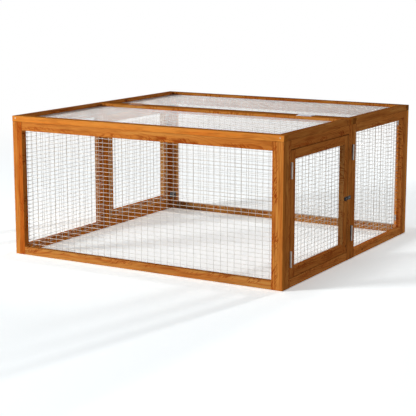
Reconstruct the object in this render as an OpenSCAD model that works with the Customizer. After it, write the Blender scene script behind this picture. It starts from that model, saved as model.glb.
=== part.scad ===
// Folding rabbit run: two full width end panels, two sides that each fold inwards
// at their middle, a hinged door in one half of each side and two hinged lids.
// The right side seen from the front carries its door in the front half. The left
// side is the same assembly turned half a turn, so its door is in the rear half.

/* [Run] */
// Overall width, along the front and rear panels
run_w = 1200; // [1000:10:1500]
// Overall depth over the front and rear panels
run_d = 1172; // [700:2:1180]
// Height to the top face of the lids
run_h = 556; // [440:1:800]

/* [Timber] */
// Thickness of every wall and door batten
timber_t = 22; // [18:0.5:28]
// Width of the front and rear panel stiles
panel_stile_w = 46; // [38:1:60]
// Width of the stiles in the folding side frames
side_stile_w = 34; // [28:1:44]
// Height of the top rail in every wall frame
top_rail_w = 34; // [26:1:50]
// Height of the bottom rail in every wall frame
bottom_rail_w = 32; // [26:1:50]
// Width of the door stiles and rails
door_batten_w = 34; // [26:1:44]
// Width of the lid rails
lid_rail_w = 34; // [30:1:50]
// Height of the lid rails
lid_t = 22; // [18:0.5:30]
// Bevel planed on the long edges of every batten
arris = 1.2; // [0.5:0.1:2]

/* [Clearances] */
// Gap between an end panel and the end of a side frame
corner_gap = 0.4; // [0.3:0.1:1]
// Gap between the wall tops and the lids
lid_seat_gap = 0.4; // [0.3:0.1:1]
// Gap between the two lids
lid_mid_gap = 2; // [1:0.5:4]
// Gap round each door on the three sides away from its hinges
door_gap = 2.4; // [1.5:0.1:4]

/* [Net] */
// Wire diameter
wire_d = 1.4; // [1:0.1:1.8]
// Spacing of the upright wires, and of the lid wires that run front to back
net_pitch_w = 60; // [56:1:80]
// Spacing of the level wires in the walls and doors
net_pitch_h = 32; // [30:1:40]
// Spacing of the lid wires that run side to side
lid_net_pitch = 40; // [36:1:60]
// Height of the lowest level wire
net_foot = 17; // [14:1:20]
// Depth of the lid nets below the top of the lids
lid_net_depth = 11; // [8:0.5:15]
// Width of the rebate that the lid nets lie in
rebate_w = 8; // [6:0.5:12]

/* [Corner hinges] */
// Length of each corner hinge
corner_hinge_l = 25; // [20:1:28]
// Width of each corner hinge leaf, from its pin
corner_leaf_w = 17; // [14:0.5:22]
// Thickness of the corner hinge leaves
corner_leaf_t = 1.5; // [1.2:0.1:2]
// Diameter of the corner hinge knuckles
corner_knuckle_d = 7; // [6.4:0.1:7.6]
// Distance of the pin from both inner faces
corner_pin_off = 4.3; // [4.2:0.1:5]

/* [Fold hinges] */
// Length of each hinge in the middle of a side
fold_hinge_l = 61; // [50:1:75]
// Width of each fold hinge leaf, from its pin
fold_leaf_w = 20; // [14:0.5:22]
// Thickness of the fold hinge leaves
fold_leaf_t = 1.5; // [1.2:0.1:2]
// Diameter of the fold hinge knuckles
fold_knuckle_d = 7.8; // [6.8:0.1:8]
// Distance of the pin outside the wall face
fold_pin_off = 4.3; // [4.2:0.1:5]
// Height of the middle of the lower fold and door hinges
hinge_low_z = 105; // [80:1:140]
// Distance of the middle of the upper fold and door hinges below the wall top
hinge_high_drop = 108; // [80:1:150]

/* [Door hinges] */
// Length of each door hinge
door_hinge_l = 60; // [50:1:75]
// Width of each door hinge leaf, from its pin
door_leaf_w = 18; // [14:0.5:22]
// Thickness of the door hinge leaves
door_leaf_t = 1; // [0.8:0.1:1.4]
// Diameter of the door hinge knuckles
door_knuckle_d = 6.8; // [6:0.1:7]
// Distance of the pin outside the wall face
door_pin_off = 3.8; // [3.7:0.1:4.2]

/* [Lid hinges] */
// Length of each lid hinge
lid_hinge_l = 65; // [60:1:100]
// Width of each lid hinge leaf, from its pin
lid_leaf_w = 20; // [16:0.5:21]
// Thickness of the lid hinge leaves
lid_leaf_t = 1.2; // [1:0.1:1.5]
// Diameter of the lid hinge knuckles
lid_knuckle_d = 6; // [5.6:0.1:6.2]
// Distance of the pin from the faces that the leaves lie on
lid_pin_off = 3.3; // [3.2:0.1:3.6]
// Distance of the middle of the outer lid hinges from each side
lid_hinge_in = 203; // [120:1:300]

/* [Hinge pins] */
// Diameter of every hinge pin
pin_d = 3; // [2.4:0.1:3.4]
// Radial clearance of the pins in the turning knuckles
pin_clear = 0.08; // [0.02:0.01:0.1]
// Gap between neighbouring knuckles, and between the leaves of a shut hinge
leaf_gap = 0.4; // [0.3:0.1:0.8]
// Diameter of the screw holes in the face mounted leaves
screw_hole_d = 3.6; // [3:0.1:4]

/* [Door bolts] */
// Height of the door bolts above the ground
bolt_z = 250; // [150:1:350]
// Length of the bolt's plate on the door
bolt_plate_l = 27; // [26:0.5:30]
// Height of the bolt's plate and of its keeper
bolt_plate_w = 14; // [12:0.5:20]
// Thickness of the bolt's plate and of its keeper
bolt_plate_t = 1.2; // [0.8:0.1:1.3]
// Diameter of the sliding rod
bolt_rod_d = 4; // [3:0.1:4]
// Outer diameter of the loops that guide the rod
bolt_loop_d = 6.8; // [6.6:0.1:7.2]
// Length of each guide loop
bolt_loop_l = 5; // [4:0.5:6]
// Distance that the rod slides
bolt_travel = 8; // [6:0.5:8]
// Diameter of the thumb stub on the rod
bolt_stub_d = 3.4; // [2.6:0.1:3.6]
// Reach of the thumb stub below the rod
bolt_stub_l = 10; // [8:0.5:14]
// Length of the keeper on the frame
keeper_l = 26; // [14:0.5:30]

/* [Hidden] */
wall_h = run_h - lid_t - lid_seat_gap;
fold_gap = 2 * fold_leaf_t + leaf_gap;
door_hinge_gap = 2 * door_leaf_t + leaf_gap;

// The rear lid hinges stand behind the rear panel, and the row is centred over both.
rear_proud = lid_pin_off + lid_knuckle_d / 2;
front_y = -(run_d + rear_proud) / 2;
mid_y = front_y + run_d / 2;
inner_x = run_w / 2 - timber_t;

// One folding half runs from its corner end to the middle gap.
half_l = run_d / 2 - timber_t - corner_gap - fold_gap / 2;
half_end_y = front_y + timber_t + corner_gap;

// The door fills its frame, less the hinge gap and the clearance round it.
door_y = half_end_y + side_stile_w + door_hinge_gap;
door_w = half_l - 2 * side_stile_w - door_hinge_gap - door_gap;
door_z = bottom_rail_w + door_gap;
door_h = wall_h - top_rail_w - bottom_rail_w - 2 * door_gap;

// Each lid covers half the depth and sits on the walls.
lid_depth = (run_d - lid_mid_gap) / 2;
lid_z = wall_h + lid_seat_gap;
lid_top = run_h;

// Level wires fall on fixed rows, and the corner hinges sit between two of them.
net_rows = floor((wall_h - 2 * arris - net_foot) / net_pitch_h);
door_first_row = ceil((door_z + arris + wire_d - net_foot) / net_pitch_h);
door_last_row = floor((door_z + door_h - arris - wire_d - net_foot) / net_pitch_h);
corner_low_z = net_foot + 1.5 * net_pitch_h;
corner_high_z = net_foot + (net_rows - 1.5) * net_pitch_h;
net_end = 4;
layer_gap = 0.05;

hinge_high_z = wall_h - hinge_high_drop;
lid_hinge_x = run_w / 2 - lid_hinge_in;

// At rest the bolts are drawn back, level with the end of their plates.
bolt_edge_in = 1.4;
bolt_loop_in = 4;
bolt_nose = 1;
bolt_play = 0.1;
bolt_hole_d = 2.4;
bolt_hole_z = 5;
bolt_y = door_y + door_w - bolt_edge_in - bolt_plate_l;
keeper_y = door_y + door_w + door_gap + bolt_edge_in;

wood = [0.80, 0.45, 0.16];
wood_side = [0.62, 0.36, 0.14];
zinc = [0.78, 0.79, 0.80];
net_steel = [0.70, 0.71, 0.72];
black = [0.12, 0.13, 0.14];

$fn = 32;

// Timber

// End section of a planed batten with bevelled corners.
module batten_section(a, b) {
    polygon([
        [arris, 0], [a - arris, 0], [a, arris], [a, b - arris],
        [a - arris, b], [arris, b], [0, b - arris], [0, arris]
    ]);
}

// Battens whose lowest corner is the origin, along Z, X or Y.
module batten_z(x, y, z) {
    linear_extrude(z) batten_section(x, y);
}

module batten_x(x, y, z) {
    rotate([90, 0, 90]) linear_extrude(x) batten_section(y, z);
}

// Lid rail along X, outer face at y = 0, rebated underneath along its inner edge.
module lid_rail(l) {
    rebate_h = lid_t - lid_net_depth;
    rotate([90, 0, 90]) linear_extrude(l) polygon([
        [arris, 0], [lid_rail_w - rebate_w, 0], [lid_rail_w - rebate_w, rebate_h],
        [lid_rail_w, rebate_h], [lid_rail_w, lid_t - arris], [lid_rail_w - arris, lid_t],
        [arris, lid_t], [0, lid_t - arris], [0, arris]
    ]);
}

// Places a side frame's local X along the run's depth, its outer face at the right.
module on_right(y) {
    translate([run_w / 2, y, 0]) rotate([0, 0, 90]) children();
}

// Turns what follows half a turn about the middle of the walls.
module half_turn() {
    translate([0, 2 * mid_y, 0]) rotate([0, 0, 180]) children();
}

// Front panel battens. The rear panel is the same, turned round.
module panel_stiles() {
    for (x = [-run_w / 2, run_w / 2 - panel_stile_w])
        translate([x, front_y, 0]) batten_z(panel_stile_w, timber_t, wall_h);
}

module panel_rail(z, h) {
    translate([panel_stile_w - run_w / 2, front_y, z])
        batten_x(run_w - 2 * panel_stile_w, timber_t, h);
}

// Battens of one folding half that starts at depth y.
module half_stiles(y) {
    on_right(y) for (x = [0, half_l - side_stile_w])
        translate([x, 0, 0]) batten_z(side_stile_w, timber_t, wall_h);
}

module half_rail(y, z, h) {
    on_right(y) translate([side_stile_w, 0, z])
        batten_x(half_l - 2 * side_stile_w, timber_t, h);
}

front_half_y = half_end_y;
rear_half_y = mid_y + fold_gap / 2;

module front_panel_stiles() {
    color(wood) panel_stiles();
}

module front_panel_top_rail() {
    color(wood) panel_rail(wall_h - top_rail_w, top_rail_w);
}

module front_panel_bottom_rail() {
    color(wood) panel_rail(0, bottom_rail_w);
}

module rear_panel_stiles() {
    color(wood) half_turn() panel_stiles();
}

module rear_panel_top_rail() {
    color(wood) half_turn() panel_rail(wall_h - top_rail_w, top_rail_w);
}

module rear_panel_bottom_rail() {
    color(wood) half_turn() panel_rail(0, bottom_rail_w);
}

module right_front_stiles() {
    color(wood_side) half_stiles(front_half_y);
}

module right_front_top_rail() {
    color(wood_side) half_rail(front_half_y, wall_h - top_rail_w, top_rail_w);
}

module right_front_bottom_rail() {
    color(wood_side) half_rail(front_half_y, 0, bottom_rail_w);
}

module right_rear_stiles() {
    color(wood_side) half_stiles(rear_half_y);
}

module right_rear_top_rail() {
    color(wood_side) half_rail(rear_half_y, wall_h - top_rail_w, top_rail_w);
}

module right_rear_bottom_rail() {
    color(wood_side) half_rail(rear_half_y, 0, bottom_rail_w);
}

module left_rear_stiles() {
    color(wood_side) half_turn() half_stiles(front_half_y);
}

module left_rear_top_rail() {
    color(wood_side) half_turn() half_rail(front_half_y, wall_h - top_rail_w, top_rail_w);
}

module left_rear_bottom_rail() {
    color(wood_side) half_turn() half_rail(front_half_y, 0, bottom_rail_w);
}

module left_front_stiles() {
    color(wood_side) half_turn() half_stiles(rear_half_y);
}

module left_front_top_rail() {
    color(wood_side) half_turn() half_rail(rear_half_y, wall_h - top_rail_w, top_rail_w);
}

module left_front_bottom_rail() {
    color(wood_side) half_turn() half_rail(rear_half_y, 0, bottom_rail_w);
}

// Doors: stiles over the full height, with the rails between them.
module door_stiles() {
    on_right(door_y) for (x = [0, door_w - door_batten_w])
        translate([x, 0, door_z]) batten_z(door_batten_w, timber_t, door_h);
}

module door_rails() {
    on_right(door_y) for (z = [door_z, door_z + door_h - door_batten_w])
        translate([door_batten_w, 0, z])
            batten_x(door_w - 2 * door_batten_w, timber_t, door_batten_w);
}

module right_door_stiles() {
    color(wood_side) door_stiles();
}

module right_door_rails() {
    color(wood_side) door_rails();
}

module left_door_stiles() {
    color(wood_side) half_turn() door_stiles();
}

module left_door_rails() {
    color(wood_side) half_turn() door_rails();
}

// Lids: long rails over the full width, side rails between them.
module lid_long_rails() {
    for (a = [0, 180])
        rotate([0, 0, a]) translate([-run_w / 2, -lid_depth / 2, 0]) lid_rail(run_w);
}

// The foot of each side rail runs on into the rebates of the long rails.
module lid_side_rail() {
    foot_w = lid_rail_w - rebate_w;
    foot_h = lid_t - lid_net_depth;
    translate([lid_rail_w, 0, 0]) lid_rail(lid_depth - 2 * lid_rail_w);
    translate([foot_w, 0, 0]) rotate([90, 0, 90]) linear_extrude(lid_depth - 2 * foot_w)
        polygon([[arris, 0], [foot_w, 0], [foot_w, foot_h], [0, foot_h], [0, arris]]);
}

module lid_side_rails() {
    for (a = [0, 180])
        rotate([0, 0, a]) translate([-run_w / 2, lid_depth / 2, 0])
            rotate([0, 0, -90]) lid_side_rail();
}

module at_front_lid() {
    translate([0, front_y + lid_depth / 2, lid_z]) children();
}

module at_rear_lid() {
    translate([0, front_y + run_d - lid_depth / 2, lid_z]) children();
}

module front_lid_long_rails() {
    color(wood) at_front_lid() lid_long_rails();
}

module front_lid_side_rails() {
    color(wood) at_front_lid() lid_side_rails();
}

module rear_lid_long_rails() {
    color(wood) at_rear_lid() lid_long_rails();
}

module rear_lid_side_rails() {
    color(wood) at_rear_lid() lid_side_rails();
}

// Nets: welded mesh, one layer of level wires against the timber and one of
// crossing wires over it. Wire ends are cut off just past the outer wires.

module wire(l) {
    cylinder(d = wire_d, h = l, $fn = 6);
}

function layer(n) = (n - 0.5) * wire_d + n * layer_gap;

// Wall net on the plane y = 0, centred on x = 0, with the timber behind it.
module wall_net(span, first_row, last_row, tail) {
    gaps = floor((span - 2 * tail) / net_pitch_w);
    for (row = [first_row : last_row])
        translate([-span / 2, layer(1), net_foot + row * net_pitch_h])
            rotate([0, 90, 0]) wire(span);
    for (i = [0 : gaps])
        translate([(i - gaps / 2) * net_pitch_w, layer(2), net_foot + first_row * net_pitch_h - net_end])
            wire((last_row - first_row) * net_pitch_h + 2 * net_end);
}

// Net of an end panel, short of the corner hinges' leaves.
module panel_net() {
    translate([0, front_y + timber_t, 0])
        wall_net(2 * (inner_x - net_end), 0, net_rows, corner_leaf_w + corner_pin_off);
}

// Nets on the inner face of a side frame, where local Y points into the run.
module side_net_at(y) {
    translate([inner_x, y, 0]) rotate([0, 0, 90]) children();
}

module half_net() {
    side_net_at(rear_half_y + half_l / 2)
        wall_net(half_l - 2 * net_end, 0, net_rows, corner_leaf_w + corner_pin_off);
}

module door_net() {
    side_net_at(door_y + door_w / 2)
        wall_net(door_w - 2 * arris, door_first_row, door_last_row, wire_d);
}

// Net under the rebates of a lid.
module lid_net() {
    span_x = run_w - 2 * (lid_rail_w - rebate_w) - 2;
    span_y = lid_depth - 2 * (lid_rail_w - rebate_w) - 2;
    gaps_x = floor((span_x - wire_d) / net_pitch_w);
    gaps_y = floor((span_y - wire_d) / lid_net_pitch);
    z = lid_t - lid_net_depth;
    for (i = [0 : gaps_y])
        translate([-span_x / 2, (i - gaps_y / 2) * lid_net_pitch, z - layer(1)])
            rotate([0, 90, 0]) wire(span_x);
    for (i = [0 : gaps_x])
        translate([(i - gaps_x / 2) * net_pitch_w, -span_y / 2, z - layer(2)])
            rotate([-90, 0, 0]) wire(span_y);
}

module front_panel_net() {
    color(net_steel) panel_net();
}

module rear_panel_net() {
    color(net_steel) half_turn() panel_net();
}

module right_rear_net() {
    color(net_steel) half_net();
}

module left_front_net() {
    color(net_steel) half_turn() half_net();
}

module right_door_net() {
    color(net_steel) door_net();
}

module left_door_net() {
    color(net_steel) half_turn() door_net();
}

module front_lid_net() {
    color(net_steel) at_front_lid() lid_net();
}

module rear_lid_net() {
    color(net_steel) at_rear_lid() lid_net();
}

// Hinges

// One leaf of a butt hinge. The pin is the Z axis and the plate runs along +X with
// its back at y = back. Even knuckles (own = 0) keep the pin, odd ones (own = 1)
// turn on it. Plates start clear of the other leaf's knuckles.
module leaf(l, w, t, back, d, knuckles, own, holes) {
    seg = l / knuckles;
    root = d / 2 + leaf_gap;
    difference() {
        union() {
            translate([root, back, -l / 2]) cube([w - root, t, l]);
            for (k = [own : 2 : knuckles - 1])
                translate([0, 0, k * seg - l / 2 + leaf_gap / 2]) {
                    cylinder(d = d, h = seg - leaf_gap);
                    translate([0, back, 0]) cube([root + 0.1, t, seg - leaf_gap]);
                }
        }
        if (own == 1)
            translate([0, 0, -l]) cylinder(d = pin_d + 2 * pin_clear, h = 2 * l);
        for (k = [0 : 1 : holes - 1])
            translate([(root + w) / 2, back - t, (k - (holes - 1) / 2) * l / holes])
                rotate([-90, 0, 0]) cylinder(d = screw_hole_d, h = 3 * t);
    }
    if (own == 0)
        translate([0, 0, -l / 2 + leaf_gap / 2]) cylinder(d = pin_d, h = l - leaf_gap);
}

module corner_leaf(own) {
    leaf(corner_hinge_l, corner_leaf_w, corner_leaf_t, -corner_pin_off,
        corner_knuckle_d, 3, own, 2);
}

module fold_leaf(own) {
    leaf(fold_hinge_l, fold_leaf_w, fold_leaf_t, leaf_gap / 2, fold_knuckle_d, 5, own, 0);
}

module door_leaf(own) {
    leaf(door_hinge_l, door_leaf_w, door_leaf_t, leaf_gap / 2, door_knuckle_d, 5, own, 0);
}

module lid_leaf(own) {
    leaf(lid_hinge_l, lid_leaf_w, lid_leaf_t, -lid_pin_off, lid_knuckle_d, 5, own, 3);
}

// Turns what follows over to the other end of its side.
module other_end() {
    translate([0, 2 * mid_y, 0]) mirror([0, 1, 0]) children();
}

// Pin of the corner hinges at the front right, inside both faces.
corner_x = inner_x - corner_pin_off;
corner_y = front_y + timber_t + corner_pin_off;

// Leaves on the front panel's inner face, a pair at each end, which hold the pins.
module panel_corner_leaves() {
    for (z = [corner_low_z, corner_high_z], side = [0, 1])
        mirror([side, 0, 0]) translate([corner_x, corner_y, z]) mirror([1, 0, 0]) corner_leaf(0);
}

// Leaves on the inner face of the front right half.
module side_corner_leaves() {
    for (z = [corner_low_z, corner_high_z])
        translate([corner_x, corner_y, z]) rotate([0, 0, 90]) corner_leaf(1);
}

module front_panel_corner_leaves() {
    color(zinc) panel_corner_leaves();
}

module rear_panel_corner_leaves() {
    color(zinc) half_turn() panel_corner_leaves();
}

module right_front_corner_leaves() {
    color(zinc) side_corner_leaves();
}

module right_rear_corner_leaves() {
    color(zinc) other_end() side_corner_leaves();
}

module left_front_corner_leaves() {
    color(zinc) half_turn() other_end() side_corner_leaves();
}

module left_rear_corner_leaves() {
    color(zinc) half_turn() side_corner_leaves();
}

// Fold hinges in the middle of a side: the leaves lie in the joint between the
// halves, and the pin stands outside the wall, so the halves close face to face.
module fold_pin(z) {
    translate([run_w / 2 + fold_pin_off, mid_y, z]) children();
}

module front_fold_leaves() {
    for (z = [hinge_low_z, hinge_high_z])
        fold_pin(z) rotate([0, 0, 180]) fold_leaf(1);
}

module rear_fold_leaves() {
    for (z = [hinge_low_z, hinge_high_z])
        fold_pin(z) mirror([1, 0, 0]) fold_leaf(0);
}

module right_front_fold_leaves() {
    color(zinc) front_fold_leaves();
}

module right_rear_fold_leaves() {
    color(zinc) rear_fold_leaves();
}

module left_front_fold_leaves() {
    color(zinc) half_turn() rear_fold_leaves();
}

module left_rear_fold_leaves() {
    color(zinc) half_turn() front_fold_leaves();
}

// Door hinges: the same, in the gap between the corner stile and the door.
module door_pin(z) {
    translate([run_w / 2 + door_pin_off, door_y - door_hinge_gap / 2, z]) children();
}

module frame_door_leaves() {
    for (z = [hinge_low_z, hinge_high_z])
        door_pin(z) rotate([0, 0, 180]) door_leaf(0);
}

module door_leaves() {
    for (z = [hinge_low_z, hinge_high_z])
        door_pin(z) mirror([1, 0, 0]) door_leaf(1);
}

module right_frame_door_leaves() {
    color(zinc) frame_door_leaves();
}

module right_door_leaves() {
    color(zinc) door_leaves();
}

module left_frame_door_leaves() {
    color(zinc) half_turn() frame_door_leaves();
}

module left_door_leaves() {
    color(zinc) half_turn() door_leaves();
}

// Lid hinges: two on top between the lids, two behind between rear lid and panel.
module lid_hinge_pair() {
    for (x = [-lid_hinge_x, lid_hinge_x])
        translate([x, 0, 0]) children();
}

module front_lid_leaves() {
    color(zinc) lid_hinge_pair() translate([0, mid_y, lid_top + lid_pin_off])
        mirror([0, 1, 0]) rotate([90, 0, 90]) lid_leaf(1);
}

module rear_lid_front_leaves() {
    color(zinc) lid_hinge_pair() translate([0, mid_y, lid_top + lid_pin_off])
        rotate([90, 0, 90]) lid_leaf(0);
}

module rear_lid_pin() {
    translate([0, front_y + run_d + lid_pin_off, lid_z - lid_seat_gap / 2]) children();
}

module rear_lid_back_leaves() {
    color(zinc) lid_hinge_pair() rear_lid_pin() rotate([0, -90, 0]) lid_leaf(1);
}

module rear_panel_lid_leaves() {
    color(zinc) lid_hinge_pair() rear_lid_pin() rotate([0, 90, 0]) lid_leaf(0);
}

// Door bolts

// Loop round the rod, standing on the face y = 0, from x = 0 along the rod.
module bolt_loop() {
    translate([0, -bolt_loop_d / 2, 0]) rotate([0, 90, 0]) cylinder(d = bolt_loop_d, h = bolt_loop_l);
}

module bolt_bore(l) {
    translate([-1, -bolt_loop_d / 2, 0]) rotate([0, 90, 0])
        cylinder(d = bolt_rod_d + 2 * bolt_play, h = l + 2);
}

// Flat plate on the face y = 0, drilled for a pair of screws at x = hole_x.
module bolt_base(l, hole_x) {
    difference() {
        translate([0, -bolt_plate_t, -bolt_plate_w / 2]) cube([l, bolt_plate_t, bolt_plate_w]);
        for (z = [-bolt_hole_z, bolt_hole_z])
            translate([hole_x, 1, z]) rotate([90, 0, 0]) cylinder(d = bolt_hole_d, h = bolt_plate_t + 2);
    }
}

module at_bolt(y) {
    on_right(y) translate([0, 0, bolt_z]) children();
}

module bolt_plate() {
    at_bolt(bolt_y) difference() {
        union() {
            bolt_base(bolt_plate_l, bolt_plate_l / 2);
            for (x = [bolt_loop_in, bolt_plate_l - bolt_nose - bolt_loop_l])
                translate([x, 0, 0]) bolt_loop();
        }
        bolt_bore(bolt_plate_l);
    }
}

module bolt_rod() {
    at_bolt(bolt_y) translate([0, -bolt_loop_d / 2, 0]) {
        translate([-bolt_nose, 0, 0]) rotate([0, 90, 0]) cylinder(d = bolt_rod_d, h = bolt_plate_l + bolt_nose);
        translate([bolt_loop_in + bolt_loop_l + bolt_stub_d / 2 + bolt_play, 0, -bolt_stub_l])
            cylinder(d = bolt_stub_d, h = bolt_stub_l);
    }
}

module bolt_keeper() {
    at_bolt(keeper_y) difference() {
        union() {
            bolt_base(keeper_l, (keeper_l + bolt_loop_l) / 2);
            bolt_loop();
        }
        bolt_bore(bolt_loop_l);
    }
}

module right_bolt_plate() {
    color(black) bolt_plate();
}

module right_bolt_rod() {
    color(black) bolt_rod();
}

module right_bolt_keeper() {
    color(black) bolt_keeper();
}

module left_bolt_plate() {
    color(black) half_turn() bolt_plate();
}

module left_bolt_rod() {
    color(black) half_turn() bolt_rod();
}

module left_bolt_keeper() {
    color(black) half_turn() bolt_keeper();
}

front_panel_stiles();
front_panel_top_rail();
front_panel_bottom_rail();
front_panel_net();
rear_panel_stiles();
rear_panel_top_rail();
rear_panel_bottom_rail();
rear_panel_net();
right_front_stiles();
right_front_top_rail();
right_front_bottom_rail();
right_rear_stiles();
right_rear_top_rail();
right_rear_bottom_rail();
right_rear_net();
left_front_stiles();
left_front_top_rail();
left_front_bottom_rail();
left_front_net();
left_rear_stiles();
left_rear_top_rail();
left_rear_bottom_rail();
right_door_stiles();
right_door_rails();
right_door_net();
left_door_stiles();
left_door_rails();
left_door_net();
front_lid_long_rails();
front_lid_side_rails();
front_lid_net();
rear_lid_long_rails();
rear_lid_side_rails();
rear_lid_net();
front_panel_corner_leaves();
rear_panel_corner_leaves();
right_front_corner_leaves();
right_rear_corner_leaves();
left_front_corner_leaves();
left_rear_corner_leaves();
right_front_fold_leaves();
right_rear_fold_leaves();
left_front_fold_leaves();
left_rear_fold_leaves();
right_frame_door_leaves();
right_door_leaves();
left_frame_door_leaves();
left_door_leaves();
front_lid_leaves();
rear_lid_front_leaves();
rear_lid_back_leaves();
rear_panel_lid_leaves();
right_bolt_plate();
right_bolt_rod();
right_bolt_keeper();
left_bolt_plate();
left_bolt_rod();
left_bolt_keeper();
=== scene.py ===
# A folding rabbit run: the looks of its stained battens, welded nets, zinc hinges and black bolts,
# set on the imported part. Everything is in metres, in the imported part's own frame.
import math
import random

import bmesh
import bpy
from mathutils import Matrix, Vector


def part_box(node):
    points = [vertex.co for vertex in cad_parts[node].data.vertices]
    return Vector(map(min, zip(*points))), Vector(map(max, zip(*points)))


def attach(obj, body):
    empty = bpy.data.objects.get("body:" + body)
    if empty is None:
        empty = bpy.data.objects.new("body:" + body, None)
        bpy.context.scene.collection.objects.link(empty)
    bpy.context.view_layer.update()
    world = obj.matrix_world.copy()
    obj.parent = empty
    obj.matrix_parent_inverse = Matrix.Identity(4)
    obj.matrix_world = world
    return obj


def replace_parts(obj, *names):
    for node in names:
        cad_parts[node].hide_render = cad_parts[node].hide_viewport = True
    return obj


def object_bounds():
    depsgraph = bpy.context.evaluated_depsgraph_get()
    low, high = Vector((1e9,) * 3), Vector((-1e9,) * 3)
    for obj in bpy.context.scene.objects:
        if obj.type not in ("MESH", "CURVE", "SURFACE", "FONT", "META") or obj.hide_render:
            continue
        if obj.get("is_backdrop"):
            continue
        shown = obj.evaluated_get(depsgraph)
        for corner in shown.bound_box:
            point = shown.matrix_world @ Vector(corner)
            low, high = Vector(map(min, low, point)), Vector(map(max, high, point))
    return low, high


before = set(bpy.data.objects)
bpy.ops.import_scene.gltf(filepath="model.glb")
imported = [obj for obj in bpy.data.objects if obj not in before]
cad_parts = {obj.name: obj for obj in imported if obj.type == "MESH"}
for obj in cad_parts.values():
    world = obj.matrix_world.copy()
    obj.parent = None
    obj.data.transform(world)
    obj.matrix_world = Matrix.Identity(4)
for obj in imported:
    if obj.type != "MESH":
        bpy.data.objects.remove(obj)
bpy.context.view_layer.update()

# ---- Front and rear panels -------------------------------------------------------------------
# Each panel is a frame of planed softwood battens, 22 mm thick: two stiles run the full height and
# two rails butt between them, glued and screwed, and the whole frame is dipped in an orange stain.

X, Y, Z = Vector((1, 0, 0)), Vector((0, 1, 0)), Vector((0, 0, 1))  # to the right, the rear and up
PANEL_STILE_W = 0.046


def put(tree, kind, inputs=None, **settings):
    """Adds one shader node. An input given as a socket is linked, any other value is set on it."""
    node = tree.nodes.new("ShaderNode" + kind)
    for name, value in settings.items():
        setattr(node, name, value)
    for key, value in (inputs or {}).items():
        if isinstance(value, bpy.types.NodeSocket):
            tree.links.new(value, node.inputs[key])
        else:
            node.inputs[key].default_value = value
    return node


def sums(tree, operation, *values):
    """A Math node's result."""
    return put(tree, "Math", dict(enumerate(values)), operation=operation).outputs[0]


def vectors(tree, operation, *values):
    """A Vector Math node's result, a number for the operations that give one."""
    node = put(tree, "VectorMath", dict(enumerate(values)), operation=operation)
    return node.outputs[1 if operation in ("DOT_PRODUCT", "LENGTH") else 0]


def ease(tree, value, low, high, start=0.0, end=1.0):
    """A smooth step of value, from start at low to end at high."""
    levels = {"Value": value, "From Min": low, "From Max": high, "To Min": start, "To Max": end}
    return put(tree, "MapRange", levels, interpolation_type="SMOOTHSTEP").outputs[0]


def tint(tree, share, colour_a, colour_b, blend="MIX"):
    """Colour a with share of colour b over it."""
    return put(tree, "Mix", {0: share, 6: colour_a, 7: colour_b}, data_type="RGBA",
               blend_type=blend).outputs[2]


def speckle(tree, place, stretch, detail=2.0, roughness=0.5):
    """Noise from 0 to 1 over place, with so many grains to the metre along each direction."""
    stretched = vectors(tree, "MULTIPLY", place, stretch)
    return put(tree, "TexNoise", {"Vector": stretched, "Scale": 1.0, "Detail": detail,
                                  "Roughness": roughness}).outputs[0]


def effect(name, inputs, outputs):
    """A shader node group with named sockets, and the sockets of its two end nodes. An input's kind
    follows from its value: one number, the three of a vector or the four of a colour."""
    group = bpy.data.node_groups.new(name, "ShaderNodeTree")
    for label, value in inputs.items():
        kind = "Float" if isinstance(value, float) else {3: "Vector", 4: "Color"}[len(value)]
        socket = group.interface.new_socket(label, in_out="INPUT", socket_type="NodeSocket" + kind)
        socket.default_value = value
    for label, kind in outputs.items():
        group.interface.new_socket(label, in_out="OUTPUT", socket_type="NodeSocket" + kind)
    ends = [group.nodes.new("NodeGroup" + end) for end in ("Input", "Output")]
    return group, ends[0].outputs, ends[1].inputs


# Where a point lies in its batten: metres along, across and through it from the batten's middle.
# The two battens of a pair are folded onto one, and Side tells them apart.
batten_place, given, made = effect(
    "Batten place",
    {"Object": (0, 0, 0), "Middle": (0, 0, 0), "Pair": (0, 0, 0), "Half Span": (0, 0, 0),
     "Along": (1, 0, 0), "Across": (0, 1, 0)},
    {"Place": "Vector", "Side": "Float"})
off_middle = vectors(batten_place, "SUBTRACT", given["Object"], given["Middle"])
folded = put(batten_place, "Mix", {1: given["Pair"], 4: off_middle,
                                   5: vectors(batten_place, "ABSOLUTE", off_middle)},
             data_type="VECTOR", factor_mode="NON_UNIFORM").outputs[1]
in_batten = vectors(batten_place, "SUBTRACT", folded, given["Half Span"])
through = vectors(batten_place, "CROSS_PRODUCT", given["Along"], given["Across"])
place = put(batten_place, "CombineXYZ", {
    0: vectors(batten_place, "DOT_PRODUCT", in_batten, given["Along"]),
    1: vectors(batten_place, "DOT_PRODUCT", in_batten, given["Across"]),
    2: vectors(batten_place, "DOT_PRODUCT", in_batten, through)}).outputs[0]
side = vectors(batten_place, "SIGN", off_middle)
side = vectors(batten_place, "DOT_PRODUCT", side, given["Pair"])
batten_place.links.new(place, made["Place"])
batten_place.links.new(side, made["Side"])

# The figure of sawn softwood: year rings round a pith beside the batten, bent where a knot stands.
# The pith drifts by Lean and Taper along the batten, and the planer tore short slanting marks on
# the heart side.
SEED_ALONG, SEED_ACROSS, SEED_THROUGH = 3.71, 1.0, 0.37  # metres that one seed moves the figure
SEED_OF_KNOTS, SEED_OF_SIDE = 5.3, 2.37
WANDER_APART = (4.1, 9.7, 2.9)
KNOT_EVERY = 0.24  # one knot at most in each such length
KNOT_OFF_LINE = 0.018
KNOT_R, KNOT_RIM_R = 0.0028, 0.0052
SWIRL_R, SWIRL = 0.026, 0.009
RING_WANDER_ACROSS, RING_WANDER_THROUGH = 0.005, 0.007
RING_FRAY = 0.6  # of a ring's width
HEART_WANDER = 0.006

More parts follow.
